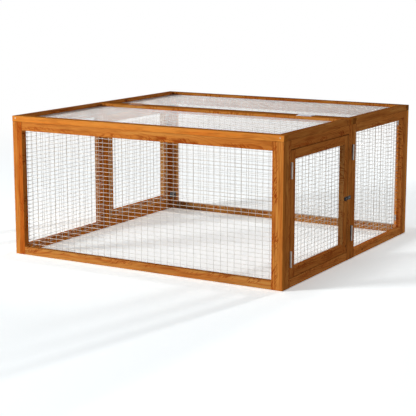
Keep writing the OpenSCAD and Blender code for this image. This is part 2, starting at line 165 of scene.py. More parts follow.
softwood, given, made = effect(
    "Softwood figure",
    {"Place": (0, 0, 0), "Seed": 0.0, "Pith Across": 0.03, "Pith Through": 0.03, "Lean": 0.03,
     "Taper": 0.06, "Ring Width": 0.004, "Knot Share": 0.3, "Tear Slant": 0.7},
    dict.fromkeys(("Late Wood", "Streak", "Fibre", "Tone", "Knot", "Torn Grain", "Blotch",
                   "Heart Side"), "Float"))
seed_shift = put(softwood, "CombineXYZ", {
    axis: sums(softwood, "MULTIPLY", given["Seed"], step)
    for axis, step in enumerate((SEED_ALONG, SEED_ACROSS, SEED_THROUGH))}).outputs[0]
seeded = vectors(softwood, "ADD", given["Place"], seed_shift)
parts = put(softwood, "SeparateXYZ", {0: given["Place"]}).outputs

cell = sums(softwood, "DIVIDE", parts[0], KNOT_EVERY)
cell = sums(softwood, "MULTIPLY_ADD", given["Seed"], SEED_OF_KNOTS, cell)
dice = put(softwood, "TexWhiteNoise", {"W": sums(softwood, "FLOOR", cell)},
           noise_dimensions="1D").outputs["Color"]
dice = put(softwood, "SeparateXYZ", {0: dice}).outputs
knot_along = sums(softwood, "SUBTRACT", sums(softwood, "FRACT", cell),
                  ease(softwood, dice[0], 0.0, 1.0, 0.3, 0.7))
knot_along = sums(softwood, "MULTIPLY", knot_along, KNOT_EVERY)
knot_across = sums(softwood, "SUBTRACT", parts[1],
                   ease(softwood, dice[1], 0.0, 1.0, -KNOT_OFF_LINE, KNOT_OFF_LINE))
knot_off = vectors(softwood, "LENGTH", put(softwood, "CombineXYZ", {
    0: sums(softwood, "MULTIPLY", knot_along, 0.8), 1: knot_across}).outputs[0])
knot_there = sums(softwood, "LESS_THAN", dice[2], given["Knot Share"])
knot = sums(softwood, "MULTIPLY", knot_there,
            ease(softwood, knot_off, KNOT_R, KNOT_RIM_R, 1.0, 0.0))
knot_swirl = sums(softwood, "MULTIPLY", knot_there,
                  ease(softwood, knot_off, 0.0, SWIRL_R, SWIRL, 0.0))

wander = speckle(softwood, seeded, (2.3, 7.0, 7.0), 1.0)
ring_across = sums(softwood, "SUBTRACT", parts[1], given["Pith Across"])
ring_across = sums(softwood, "SUBTRACT", ring_across,
                   sums(softwood, "MULTIPLY", parts[0], given["Lean"]))
ring_across = sums(softwood, "ADD", ring_across,
                   ease(softwood, wander, 0.25, 0.75, -RING_WANDER_ACROSS, RING_WANDER_ACROSS))
wander = vectors(softwood, "ADD", seeded, WANDER_APART)
wander = speckle(softwood, wander, (3.1, 8.0, 8.0), 1.0)
ring_through = sums(softwood, "SUBTRACT", parts[2], given["Pith Through"])
ring_through = sums(softwood, "SUBTRACT", ring_through,
                    sums(softwood, "MULTIPLY", parts[0], given["Taper"]))
ring_through = sums(softwood, "ADD", ring_through,
                    ease(softwood, wander, 0.25, 0.75, -RING_WANDER_THROUGH, RING_WANDER_THROUGH))
radius = vectors(softwood, "LENGTH", put(softwood, "CombineXYZ", {
    1: ring_across, 2: ring_through}).outputs[0])
radius = sums(softwood, "ADD", radius, knot_swirl)
fray = speckle(softwood, seeded, (16.0, 130.0, 130.0))
ring = sums(softwood, "DIVIDE", radius, given["Ring Width"])
ring = sums(softwood, "ADD", ring, sums(softwood, "MULTIPLY", fray, RING_FRAY))

# Late wood ends sharply at each ring. It is paler in some rings and places, and on the heart side
# it shows in full.
heart_line = speckle(softwood, seeded, (5.0, 0.0, 0.0))
heart_line = ease(softwood, heart_line, 0.3, 0.7, -HEART_WANDER, HEART_WANDER)
heart_line = sums(softwood, "ADD", parts[1], heart_line)
heart_side = ease(softwood, heart_line, HEART_WANDER, -HEART_WANDER)
ring_share = sums(softwood, "FRACT", ring)
late = sums(softwood, "SUBTRACT", ease(softwood, ring_share, 0.50, 0.86),
            ease(softwood, ring_share, 0.94, 1.0))
ring_dice = put(softwood, "TexWhiteNoise", {"W": sums(softwood, "FLOOR", ring)},
                noise_dimensions="1D").outputs[0]
broken = speckle(softwood, seeded, (11.0, 70.0, 70.0))
for strength in (ease(softwood, ring_dice, 0.0, 1.0, 0.3, 1.0),
                 ease(softwood, broken, 0.36, 0.60, 0.25, 1.0),
                 ease(softwood, heart_side, 0.0, 1.0, 0.6, 1.0)):
    late = sums(softwood, "MULTIPLY", late, strength)
streak = speckle(softwood, seeded, (6.0, 150.0, 150.0), 3.0, 0.6)
streak = sums(softwood, "MULTIPLY", ease(softwood, streak, 0.50, 0.62),
              ease(softwood, heart_side, 0.0, 1.0, 0.4, 1.0))

along_tear = sums(softwood, "MULTIPLY_ADD", parts[1], given["Tear Slant"], parts[0])
across_tear = sums(softwood, "MULTIPLY", parts[0], given["Tear Slant"])
across_tear = sums(softwood, "SUBTRACT", parts[1], across_tear)
slanted = put(softwood, "CombineXYZ", {0: along_tear, 1: across_tear, 2: parts[2]}).outputs[0]
torn = ease(softwood, speckle(softwood, slanted, (45.0, 210.0, 60.0), 1.0), 0.53, 0.60)
torn_patch = ease(softwood, speckle(softwood, seeded, (9.0, 0.0, 0.0), 1.0), 0.45, 0.53)
torn = sums(softwood, "MULTIPLY", torn, torn_patch)
torn = sums(softwood, "MULTIPLY", torn, heart_side)
fibre = speckle(softwood, seeded, (14.0, 850.0, 850.0), 2.0, 0.6)
tone = speckle(softwood, seeded, (2.4, 26.0, 26.0), 3.0, 0.6)
blotch = ease(softwood, speckle(softwood, seeded, (9.0, 55.0, 55.0), 3.0, 0.6), 0.52, 0.34)
for name, value in (("Late Wood", late), ("Streak", streak), ("Fibre", fibre), ("Tone", tone),
                    ("Knot", knot), ("Torn Grain", torn), ("Blotch", blotch),
                    ("Heart Side", heart_side)):
    softwood.links.new(value, made[name])

# The dipped stain: it takes deeper in late wood, knots and end grain, and is rubbed thin on the
# arrises. The inner edges round the openings are darkened with painted shade.
KNOT_COLOUR = (0.20, 0.042, 0.010, 1)
BLOTCH_SHADE = (0.60, 0.52, 0.50, 1)
END_GRAIN_SHADE = (0.74, 0.74, 0.80, 1)
PAINTED_REVEAL_SHADE = (0.50, 0.66, 0.95, 1)
REVEAL_DEPTH = 0.0012
END_GRAIN_DEPTH = 0.0009
ARRIS_W = 0.0026

stain, given, made = effect(
    "Dipped stain",
    {"Place": (0, 0, 0), "Late Wood": 0.0, "Streak": 0.0, "Fibre": 0.5, "Tone": 0.5, "Knot": 0.0,
     "Torn Grain": 0.0, "Blotch": 0.0, "Heart Side": 0.5, "Redness": 0.0, "Reveal Painted Shade": 0.0,
     "Half Size": (0.5, 0.02, 0.01), "Early": (0.6, 0.2, 0.03, 1), "Late": (0.4, 0.1, 0.01, 1),
     "Yellow": (0.7, 0.3, 0.08, 1), "Red": (0.5, 0.1, 0.02, 1)},
    {"Color": "Color", "Roughness": "Float", "Height": "Float"})
colour = tint(stain, ease(stain, given["Tone"], 0.52, 0.72), given["Early"], given["Yellow"])
colour = tint(stain, ease(stain, given["Tone"], 0.48, 0.30, 0.0, 0.6), colour, given["Red"])
from_face = vectors(stain, "SUBTRACT", given["Half Size"],
                    vectors(stain, "ABSOLUTE", given["Place"]))
inner_depth = put(stain, "SeparateXYZ", {0: vectors(stain, "ADD", given["Half Size"],
                                                    given["Place"])}).outputs[1]
inner_edge = ease(stain, inner_depth, 0.0002, REVEAL_DEPTH, 1.0, 0.0)
redness = sums(stain, "MULTIPLY", given["Redness"], given["Heart Side"])
redness = sums(stain, "MULTIPLY", redness, sums(stain, "SUBTRACT", 1.0, inner_edge))
colour = tint(stain, redness, colour, given["Red"])
colour = tint(stain, sums(stain, "MULTIPLY", given["Streak"], 0.75), colour, given["Red"])
colour = tint(stain, sums(stain, "MULTIPLY", given["Late Wood"], 0.95), colour, given["Late"])
colour = tint(stain, ease(stain, given["Fibre"], 0.30, 0.62, 0.22, 0.0), colour, given["Late"])
colour = tint(stain, sums(stain, "MULTIPLY", given["Blotch"], 0.45), colour, BLOTCH_SHADE,
              "MULTIPLY")
colour = tint(stain, given["Torn Grain"], colour, given["Late"])
colour = tint(stain, given["Knot"], colour, KNOT_COLOUR)
depth = put(stain, "SeparateXYZ", {0: from_face}).outputs
end_grain = ease(stain, depth[0], 0.0004, END_GRAIN_DEPTH, 1.0, 0.0)
colour = tint(stain, end_grain, colour, END_GRAIN_SHADE, "MULTIPLY")
# Painted shade: the inner edge is darkened by the given share.
reveal_painted_shade = sums(stain, "MULTIPLY", given["Reveal Painted Shade"], inner_edge)
colour = tint(stain, reveal_painted_shade, colour, PAINTED_REVEAL_SHADE, "MULTIPLY")
arris = ease(stain, sums(stain, "MAXIMUM", depth[1], depth[2]), 0.0006, ARRIS_W, 1.0, 0.0)
rubbed = ease(stain, speckle(stain, given["Place"], (30.0, 180.0, 180.0)), 0.42, 0.66, 0.0, 0.4)
colour = tint(stain, sums(stain, "MULTIPLY", arris, rubbed), colour, given["Yellow"])
height = sums(stain, "ADD", sums(stain, "MULTIPLY", given["Fibre"], 0.35),
              sums(stain, "MULTIPLY", given["Late Wood"], 0.65))
stain.links.new(colour, made["Color"])
stain.links.new(ease(stain, given["Fibre"], 0.2, 0.8, 0.92, 0.80), made["Roughness"])
stain.links.new(height, made["Height"])


def stain_of(early, late, yellow, red):
    """The four colours of one batch of battens, once they are dipped."""
    return {"Early": (*early, 1), "Late": (*late, 1), "Yellow": (*yellow, 1), "Red": (*red, 1)}


PANEL_STAIN = stain_of((0.62, 0.215, 0.038), (0.34, 0.062, 0.008),
                       (0.69, 0.285, 0.058), (0.51, 0.130, 0.016))
# The rear panel's stiles take a brighter stain: painted light that lifts their inner faces out of
# the shade of the rear corners.
REAR_STILE_STAIN_PAINTED_LIGHT = stain_of((0.90, 0.35, 0.075), (0.62, 0.17, 0.032),
                            (0.94, 0.45, 0.11), (0.90, 0.31, 0.055))
PANEL_FOOT_STAIN = stain_of((0.60, 0.262, 0.060), (0.34, 0.078, 0.013),
                            (0.67, 0.34, 0.090), (0.51, 0.138, 0.021))

# The light that the timber throws on the floor and on other pieces is greyed by this share, or
# the white floor would turn orange beside it.
BOUNCE_GREY = 0.65
BOUNCE_COLOUR = (0.52, 0.41, 0.33, 1)


def set_material(piece, material):
    """One material on the whole piece."""
    piece.data.materials.clear()
    piece.data.materials.append(material)
    for face in piece.data.polygons:
        face.material_index = 0


def finish_battens(node, along, across, colours, seed, pith, pair=None, width=None, lean=0.03,
                   taper=0.06, ring=0.0046, knots=0.12, tear=-0.8, redder=0.0, reveal_shade=0.0):
    """Stained softwood on a CAD node of one batten, or of two that lie apart in the pair direction.
    across points away from the batten's inner edge, redder reddens one batten of a pair, and the
    last argument is the share of painted shade on that inner edge."""
    low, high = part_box(node)
    middle, size = (low + high) / 2, high - low
    if pair is None:
        pair = Vector((0, 0, 0))
        width = abs(size.dot(across))
    half_span = pair * ((size.dot(pair) - width) / 2)
    half = Vector((size.dot(along), width, abs(size.dot(along.cross(across))))) / 2

    material = bpy.data.materials.new("Stained batten, " + node.replace("_", " "))
    material.use_nodes = True
    tree = material.node_tree
    bsdf = tree.nodes["Principled BSDF"]
    where = put(tree, "Group", node_tree=batten_place)
    tree.links.new(put(tree, "TexCoord").outputs["Object"], where.inputs["Object"])
    for name, value in (("Middle", middle), ("Pair", pair), ("Half Span", half_span),
                        ("Along", along), ("Across", across)):
        where.inputs[name].default_value = value
    figure = put(tree, "Group", node_tree=softwood)
    for name, value in (("Pith Across", pith[0]), ("Pith Through", pith[1]), ("Lean", lean),
                        ("Taper", taper), ("Ring Width", ring), ("Knot Share", knots),
                        ("Tear Slant", tear)):
        figure.inputs[name].default_value = value
    own_seed = sums(tree, "MULTIPLY_ADD", where.outputs["Side"], SEED_OF_SIDE, seed)
    tree.links.new(own_seed, figure.inputs["Seed"])
    tree.links.new(where.outputs["Place"], figure.inputs["Place"])
    dipped = put(tree, "Group", node_tree=stain)
    for name, value in (("Half Size", half), ("Reveal Painted Shade", reveal_shade), *colours.items()):
        dipped.inputs[name].default_value = value
    tree.links.new(where.outputs["Place"], dipped.inputs["Place"])
    for output in figure.outputs:
        tree.links.new(output, dipped.inputs[output.name])
    if redder:
        redness = sums(tree, "MULTIPLY", where.outputs["Side"], redder)
        tree.links.new(sums(tree, "MAXIMUM", redness, 0.0), dipped.inputs["Redness"])
    bump = put(tree, "Bump", {"Strength": 0.35, "Distance": 0.0004,
                              "Height": dipped.outputs["Height"]})
    bounced = put(tree, "LightPath").outputs["Is Diffuse Ray"]
    bounced = sums(tree, "MULTIPLY", bounced, BOUNCE_GREY)
    tree.links.new(tint(tree, bounced, dipped.outputs["Color"], BOUNCE_COLOUR),
                   bsdf.inputs["Base Color"])
    tree.links.new(dipped.outputs["Roughness"], bsdf.inputs["Roughness"])
    tree.links.new(bump.outputs[0], bsdf.inputs["Normal"])
    bsdf.inputs["Specular IOR Level"].default_value = 0.001
    set_material(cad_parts[node], material)


for panel, colours, seed in (("front_panel", PANEL_STAIN, 0), ("rear_panel", REAR_STILE_STAIN_PAINTED_LIGHT, 4)):
    finish_battens(panel + "_stiles", Z, X, colours, seed=seed + 1.3, pith=(-0.055, 0.020), pair=X,
                   width=PANEL_STILE_W, lean=0.006, taper=0.03, ring=0.0088, knots=0.0, tear=0.6,
                   redder=-1.0)
    finish_battens(panel + "_top_rail", X, Z, PANEL_STAIN, seed=seed + 2.9, pith=(-0.010, 0.030),
                   lean=0.004, taper=0.05, ring=0.0044, knots=0.0)
    finish_battens(panel + "_bottom_rail", X, -Z, PANEL_FOOT_STAIN, seed=seed + 0.7,
                   pith=(-0.02, 0.04), lean=-0.006, taper=0.03, ring=0.0046)

# ---- The four folding halves of the sides ----------------------------------------------------
# Each half is a frame of the same softwood with narrower stiles, hung on the corner hinges of its
# panel and on the fold hinges of the next half. Two of them hold a net, the other two a door.

SIDE_STILE_W = 0.034
SIDE_STAIN = stain_of((0.67, 0.235, 0.048), (0.34, 0.068, 0.010),
                      (0.80, 0.345, 0.083), (0.49, 0.108, 0.015))
# The left halves take a brighter, more orange stain: painted light that lifts their shaded inner
# faces.
LEFT_SIDE_STAIN_PAINTED_LIGHT = stain_of((0.74, 0.220, 0.030), (0.37, 0.063, 0.006),
                           (0.88, 0.325, 0.052), (0.54, 0.100, 0.009))
SIDE_FOOT_STAIN = stain_of((0.78, 0.29, 0.065), (0.47, 0.105, 0.018),
                           (0.82, 0.37, 0.092), (0.64, 0.165, 0.026))
LEFT_FOOT_STAIN_PAINTED_LIGHT = stain_of((0.81, 0.265, 0.040), (0.49, 0.096, 0.011),
                           (0.86, 0.34, 0.057), (0.67, 0.150, 0.016))
RIGHT_REAR_FOOT_STAIN = stain_of((0.85, 0.325, 0.077), (0.54, 0.125, 0.022),
                                 (0.88, 0.41, 0.105), (0.72, 0.19, 0.031))

# The last entry is each half's share of painted shade on its stiles' inner edges, small where the
# right rear half's reveal catches the light.
for number, (half, colours, foot_colours, reveal_shade) in enumerate((
        ("right_front", SIDE_STAIN, SIDE_FOOT_STAIN, 1.0),
        ("right_rear", SIDE_STAIN, RIGHT_REAR_FOOT_STAIN, 0.1),
        ("left_front", LEFT_SIDE_STAIN_PAINTED_LIGHT, LEFT_FOOT_STAIN_PAINTED_LIGHT, 1.0),
        ("left_rear", LEFT_SIDE_STAIN_PAINTED_LIGHT, LEFT_FOOT_STAIN_PAINTED_LIGHT, 1.0))):
    seed = 2.2 * number
    finish_battens(half + "_stiles", Z, Y, colours, seed=seed + 3.1, pith=(0.02, 0.04), pair=Y,
                   width=SIDE_STILE_W, lean=0.012, reveal_shade=reveal_shade)
    finish_battens(half + "_top_rail", Y, Z, SIDE_STAIN, seed=seed + 4.9, pith=(0.03, 0.03),
                   lean=0.01, reveal_shade=1.0)
    finish_battens(half + "_bottom_rail", Y, -Z, foot_colours, seed=seed + 6.3,
                   pith=(0.03, 0.04), lean=0.01)

# ---- Doors -----------------------------------------------------------------------------------
# A lighter frame of 34 mm softwood battens, dipped in the same stain. It hangs on two butt hinges
# inside its half of the side, with a small gap all round.

DOOR_BATTEN_W = 0.034
LEFT_DOOR_STAIN = stain_of((0.90, 0.33, 0.060), (0.56, 0.135, 0.018),
                           (0.94, 0.43, 0.090), (0.76, 0.19, 0.024))

for door, colours, seed in (("right_door", SIDE_STAIN, 0), ("left_door", LEFT_DOOR_STAIN, 3.3)):
    finish_battens(door + "_stiles", Z, Y, colours, seed=seed + 8.1, pith=(-0.02, 0.035), pair=Y,
                   width=DOOR_BATTEN_W, lean=-0.012, reveal_shade=1.0)
    finish_battens(door + "_rails", Y, Z, colours, seed=seed + 9.7, pith=(0.02, 0.03), pair=Z,
                   width=DOOR_BATTEN_W, lean=0.01)

# ---- Lids ------------------------------------------------------------------------------------
# The run's two lids lie flat on the walls. Two long rails and two side rails make the frame, which
# is rebated underneath for its net. The front lid's long rails are the palest battens of all.

LID_RAIL_W = 0.034
LID_STAIN = stain_of((0.74, 0.27, 0.044), (0.48, 0.115, 0.014),
                     (0.80, 0.34, 0.066), (0.75, 0.19, 0.022))
LID_SIDE_STAIN = stain_of((0.61, 0.215, 0.043), (0.30, 0.060, 0.009),
                          (0.74, 0.32, 0.077), (0.44, 0.097, 0.013))
REAR_LID_STAIN = stain_of((0.47, 0.170, 0.026), (0.28, 0.062, 0.008),
                          (0.58, 0.25, 0.055), (0.36, 0.062, 0.008))

# The front lid's long rails carry some painted shade on their inner edges.
for lid, colours, seed, redder, reveal_shade in (("front_lid", LID_STAIN, 0, 0.8, 0.45),
                                         ("rear_lid", REAR_LID_STAIN, 3.9, 0.0, 0.0)):
    finish_battens(lid + "_long_rails", X, Y, colours, seed=seed + 5.7, pith=(0.03, -0.012),
                   pair=Y, width=LID_RAIL_W, lean=0.004, taper=0.02, ring=0.0044, knots=0.0,
                   redder=redder, reveal_shade=reveal_shade)
    finish_battens(lid + "_side_rails", Y, X, LID_SIDE_STAIN, seed=seed + 7.9, pith=(0.03, -0.03),
                   pair=X, width=LID_RAIL_W, lean=0.012, knots=0.4)

# ---- Nets ------------------------------------------------------------------------------------
# Galvanised welded net, 1.4 mm wire at 28.75 by 16 mm. The level wires lie against the timber and
# the upright wires over them, welded at every crossing, and staples hold its edges to the frame.

WIRE_D = 0.0014
WIRE_SIDES = 6
WELD_SINK = 0.0001
NET_CLEAR = 0.00005  # between timber and wire
NET_SLACK = 0.0005
LEVEL_STRAY, UPRIGHT_STRAY, END_STRAY, WIRE_WAVE = 0.0004, 0.0005, 0.001, 0.0002
UPRIGHT_PITCH = 0.02875
LEVEL_PITCH = 0.016
STAPLE_D = 0.0009
STAPLE_SIDES = 5
STAPLE_CROWN = 0.0085

galvanised, given, made = effect(
    "Zinc coat",
    {"Object": (0, 0, 0), "Clean": (0.6, 0.6, 0.6, 1), "Dull": (0.4, 0.4, 0.42, 1),
     "Grain": 120.0},
    {"Color": "Color", "Roughness": "Float", "Height": "Float"})
spangle = put(galvanised, "TexVoronoi", {"Vector": given["Object"], "Scale": given["Grain"]})
spangle = put(galvanised, "SeparateXYZ", {0: spangle.outputs["Color"]}).outputs[0]
cloud = put(galvanised, "TexNoise", {"Vector": given["Object"], "Scale": 38.0,
                                     "Detail": 3.0}).outputs[0]
dull = sums(galvanised, "ADD", sums(galvanised, "MULTIPLY", spangle, 0.35),
            ease(galvanised, cloud, 0.35, 0.7, 0.0, 0.6))
galvanised.links.new(tint(galvanised, dull, given["Clean"], given["Dull"]), made["Color"])
galvanised.links.new(ease(galvanised, dull, 0.0, 1.0, 0.32, 0.55), made["Roughness"])
galvanised.links.new(cloud, made["Height"])

STAINED_ZINC = (0.34, 0.13, 0.032, 1)


def zinc_material(name, clean, dulled, grain, metallic, stained_over=False):
    """A galvanised or zinc plated finish. With stained_over, what lies in the run's left half has
    gone through the stain together with its timber."""
    material = bpy.data.materials.new(name)
    material.use_nodes = True
    tree = material.node_tree
    bsdf = tree.nodes["Principled BSDF"]
    coat = put(tree, "Group", node_tree=galvanised)
    object_place = put(tree, "TexCoord").outputs["Object"]
    tree.links.new(object_place, coat.inputs["Object"])
    for label, value in (("Clean", (*clean, 1)), ("Dull", (*dulled, 1)), ("Grain", grain)):
        coat.inputs[label].default_value = value
    bump = put(tree, "Bump", {"Strength": 0.12, "Distance": 0.0002,
                              "Height": coat.outputs["Height"]})
    colour = coat.outputs["Color"]
    bsdf.inputs["Metallic"].default_value = metallic
    if stained_over:
        in_left = put(tree, "SeparateXYZ", {0: object_place}).outputs[0]
        in_left = sums(tree, "LESS_THAN", in_left, 0.0)
        colour = tint(tree, in_left, colour, STAINED_ZINC)
        bare = sums(tree, "MULTIPLY_ADD", in_left, -metallic, metallic)
        tree.links.new(bare, bsdf.inputs["Metallic"])
    tree.links.new(colour, bsdf.inputs["Base Color"])
    tree.links.new(coat.outputs["Roughness"], bsdf.inputs["Roughness"])
    tree.links.new(bump.outputs[0], bsdf.inputs["Normal"])
    return material


# A net takes two finishes, its level wires' and its upright wires'. On the walls the level wires
# are painted lighter and the upright wires darker, as if lit from above: painted light and shade.
wall_zinc_lit_and_shaded = [zinc_material("Galvanised level wire, walls, painted light", (0.90, 0.80, 0.68), (0.75, 0.65, 0.54),
                           160.0, 0.1),
             zinc_material("Galvanised upright wire, walls, painted shade", (0.57, 0.51, 0.44),
                           (0.44, 0.39, 0.33), 160.0, 0.1)]
lid_zinc = [zinc_material("Galvanised net wire, lids", (0.70, 0.68, 0.66), (0.52, 0.50, 0.485),
                          160.0, 0.7)] * 2
staple_zinc = zinc_material("Staple steel", (0.55, 0.54, 0.53), (0.36, 0.35, 0.34), 300.0, 0.9)


class Shape:
    """Vertices and faces of one piece, gathered before its mesh is made."""

    def __init__(self):
        self.points, self.faces, self.finish_of = [], [], []

    def tube(self, path, radius, aside, sides=WIRE_SIDES, finish=0):
        """A round wire along path. The vector aside lies across the whole path."""
        first = len(self.points)
        for i, point in enumerate(path):
            ahead = (path[min(i + 1, len(path) - 1)] - path[max(i - 1, 0)]).normalized()
            lift = aside.cross(ahead).normalized()
            for k in range(sides):
                turn = math.tau * (k + 0.5) / sides
                self.points.append(point + radius * (math.cos(turn) * aside
                                                     + math.sin(turn) * lift))
        for i in range(len(path) - 1):
            for k in range(sides):
                a, b = first + i * sides + k, first + i * sides + (k + 1) % sides
                self.faces.append((a, a + sides, b + sides, b))
        last = len(self.points) - sides
        self.faces.append(tuple(range(first, first + sides)))
        self.faces.append(tuple(range(last + sides - 1, last - 1, -1)))
        self.finish_of += [finish] * (len(self.faces) - len(self.finish_of))

    def piece(self, name, finishes, body, slot):
        """Makes the object, with its finishes, on its body."""
        mesh = bpy.data.meshes.new(name)
        mesh.from_pydata([tuple(p) for p in self.points], [], self.faces)
        for material in finishes:
            mesh.materials.append(material)
        for face, finish in zip(mesh.polygons, self.finish_of):
            face.material_index = finish
            face.use_smooth = True
        made_piece = bpy.data.objects.new(name, mesh)
        bpy.context.scene.collection.objects.link(made_piece)
        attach(made_piece, body)
        return made_piece


def welded_net(net, body, level, inward, face, uprights, levels, level_span, upright_span, edge):
    """A net on the timber plane face, and the staples round its edge. level is the direction of the
    level wires, inward the way from the timber to the net, level_span(height) a level wire's ends,
    and edge gives each staple's place, the way it lies and how thick the net is under it."""
    rise = Y if abs(inward.z) > 0.5 else Z
    dice = random.Random(net)
    wires = Shape()
    low_layer = WIRE_D / 2 + NET_CLEAR
    high_layer = low_layer + WIRE_D - WELD_SINK
    middle_u = (uprights[0] + uprights[-1]) / 2
    half_u = (uprights[-1] - uprights[0]) / 2 + UPRIGHT_PITCH
    middle_v = (levels[0] + levels[-1]) / 2
    half_v = (levels[-1] - levels[0]) / 2 + LEVEL_PITCH
    waves = [(dice.uniform(1.5, 4.0), dice.uniform(1.5, 4.0), dice.uniform(0, 6.3))
             for _ in range(3)]

    def bulge(u, v):
        """How far the slack net stands off its plane: nothing at the edges, a little inside."""
        s, t = (u - middle_u) / half_u, (v - middle_v) / half_v
        swell = sum(math.sin(a * s * 2 + b * t * 2 + c) for a, b, c in waves) / 3
        return NET_SLACK * (1 + swell) * max(0.0, 1 - s ** 4) * max(0.0, 1 - t ** 4)

    def at(u, v, layer):
        return level * u + rise * v + face + inward * (layer + bulge(u, v))

    def stretches(span, tip, pitch):
        """The places along a wire where it may bend, two pitches apart."""
        start, end = span
        steps = max(4, round((end - start) / (2 * pitch)))
        return [start + tip + (end - start) * i / steps for i in range(steps + 1)]

    for v in levels:
        own, tip = dice.uniform(-LEVEL_STRAY, LEVEL_STRAY), dice.uniform(-END_STRAY, END_STRAY)
        wires.tube([at(u, v + own + dice.uniform(-WIRE_WAVE, WIRE_WAVE), low_layer)
                    for u in stretches(level_span(v), tip, UPRIGHT_PITCH)], WIRE_D / 2, inward)
    for u in uprights:
        own, tip = dice.uniform(-UPRIGHT_STRAY, UPRIGHT_STRAY), dice.uniform(-END_STRAY, END_STRAY)
        wires.tube([at(u + own + dice.uniform(-WIRE_WAVE, WIRE_WAVE), v, high_layer)
                    for v in stretches(upright_span, tip, LEVEL_PITCH)], WIRE_D / 2, inward,
                   finish=1)
    zinc = lid_zinc if inward.z < 0 else wall_zinc_lit_and_shaded
    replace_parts(wires.piece(net.replace("_net", "_welded_net"), zinc, body, "net"), net)

    staples = Shape()
    for u, v, crown, over in edge:
        top = over + STAPLE_D / 2
        foot = level * u + rise * v + face
        side_step = crown * (STAPLE_CROWN / 2)
        lifts = ((-1, 0.0), (-1, top * 0.8), (-0.9, top), (0.9, top), (1, top * 0.8), (1, 0.0))
        staples.tube([foot + side_step * s + inward * h for s, h in lifts], STAPLE_D / 2,
                     crown.cross(inward), STAPLE_SIDES)
    staples.piece(net.replace("_net", "_staples"), [staple_zinc], body, "net")


def spread(low, high, pitch):
    """Places a pitch apart, centred between low and high."""
    gaps = math.floor((high - low) / pitch)
    return [(low + high) / 2 + (i - gaps / 2) * pitch for i in range(gaps + 1)]


def in_step(low, high, pitch, one):
    """Places a pitch apart, as many as fit between low and high, in step with the place one."""
    first = one + math.ceil((low - one) / pitch - 0.001) * pitch
    return [first + i * pitch for i in range(math.floor((high - first) / pitch + 1.001))]


NET_END = 0.004  # the least between a net's edge and its first wire
STAPLE_IN = 0.0045
SIDE_STAPLE_IN, DOOR_STAPLE_IN = 0.0085, 0.010
SIDE_STAPLE_ROWS, DOOR_STAPLE_ROWS = (1, 8, 16, 24, 30), (1, 7, 13, 19, 25)
OVER_LEVEL = WIRE_D + 0.0001
OVER_UPRIGHT = 2 * WIRE_D
CORNER_LEAF_REACH = 0.0224
CORNER_LEAF_HALF = 0.0135
CORNER_LEAF_LEVELS = (0.065, 0.481)
CORNER_LEAF_CUT = 0.0184


def wall_net(name, body, level, inward, margin, one_upright, first_level, at_leaves, in_from_end,
             rows, columns):
    """The net of a panel, half or door. Its upright wires keep a margin from the net's ends and are
    in step with one_upright. at_leaves tells for each end if level wires are cut back for a corner
    hinge's leaf. Staples hold the ends at some rows, and the top and foot at some columns."""
    low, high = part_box(name + "_net")
    start, end = low.dot(level), high.dot(level)
    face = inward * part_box(name + "_stiles")[1 if sum(inward) > 0 else 0].dot(inward)
    levels = in_step(low.z + NET_END, high.z - NET_END, LEVEL_PITCH, low.z + first_level)
    uprights = in_step(start + margin, end - margin, UPRIGHT_PITCH, one_upright)

    def level_span(v):
        beside_leaf = any(abs(v - z) < CORNER_LEAF_HALF for z in CORNER_LEAF_LEVELS)
        cut = CORNER_LEAF_CUT if beside_leaf else 0.0
        return start + cut * at_leaves[0], end - cut * at_leaves[1]

    held = [(u, levels[k], Z, OVER_LEVEL) for u in (start + in_from_end, end - in_from_end)
            for k in rows]
    held += [(u, v, level, OVER_UPRIGHT) for u in uprights[columns]
             for v in (levels[0] + STAPLE_IN, levels[-1] - STAPLE_IN)]
    welded_net(name + "_net", body, level, inward, face, uprights, levels, level_span,
               (low.z, high.z), held)


for panel, inward, one_upright, first_level in (("front_panel", Y, -0.0121, -0.0032),
                                                ("rear_panel", -Y, 0.0, 0.004)):
    wall_net(panel, panel, X, inward, CORNER_LEAF_REACH, one_upright, first_level,
             at_leaves=(1, 1), in_from_end=SIDE_STAPLE_IN, rows=SIDE_STAPLE_ROWS,
             columns=slice(2, None, 5))

for half, inward, at_leaves, shift, first_level in (("right_rear", -X, (0, 1), -0.009, 0.0085),
                                                    ("left_front", X, (1, 0), 0.0, 0.004)):
    low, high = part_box(half + "_net")
    centred = spread(low.y + CORNER_LEAF_REACH, high.y - CORNER_LEAF_REACH, UPRIGHT_PITCH)
    wall_net(half, half + "_half", Y, inward, CORNER_LEAF_REACH, centred[0] + shift, first_level,
             at_leaves=at_leaves, in_from_end=SIDE_STAPLE_IN, rows=SIDE_STAPLE_ROWS,
             columns=slice(1, None, 4))

for door, inward, shift, first_level in (("right_door", -X, 0.0063, 0.0085),
                                         ("left_door", X, 0.0, 0.004)):
    low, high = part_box(door + "_net")
    centred = spread(low.y + NET_END, high.y - NET_END, UPRIGHT_PITCH)
    wall_net(door, door, Y, inward, NET_END, centred[0] + shift, first_level,
             at_leaves=(0, 0), in_from_end=DOOR_STAPLE_IN, rows=DOOR_STAPLE_ROWS,
             columns=slice(2, -2, 4))

LID_NET_END = 0.002
LID_STAPLE_IN = 0.0035

for lid in ("front_lid", "rear_lid"):
    low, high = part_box(lid + "_net")
    levels = spread(low.y + LID_NET_END, high.y - LID_NET_END, LEVEL_PITCH)
    uprights = spread(low.x + LID_NET_END, high.x - LID_NET_END, UPRIGHT_PITCH)
    held = [(u, v, Y, OVER_LEVEL) for u in (low.x + LID_STAPLE_IN, high.x - LID_STAPLE_IN)
            for v in levels[2::5]]
    held += [(u, v, X, OVER_UPRIGHT) for u in uprights[2::5]
             for v in (low.y + LID_STAPLE_IN, high.y - LID_STAPLE_IN)]
    welded_net(lid + "_net", lid, X, -Z, Z * (high.z + NET_CLEAR), uprights, levels,
               lambda v, low=low, high=high: (low.x, high.x), (low.y, high.y), held)

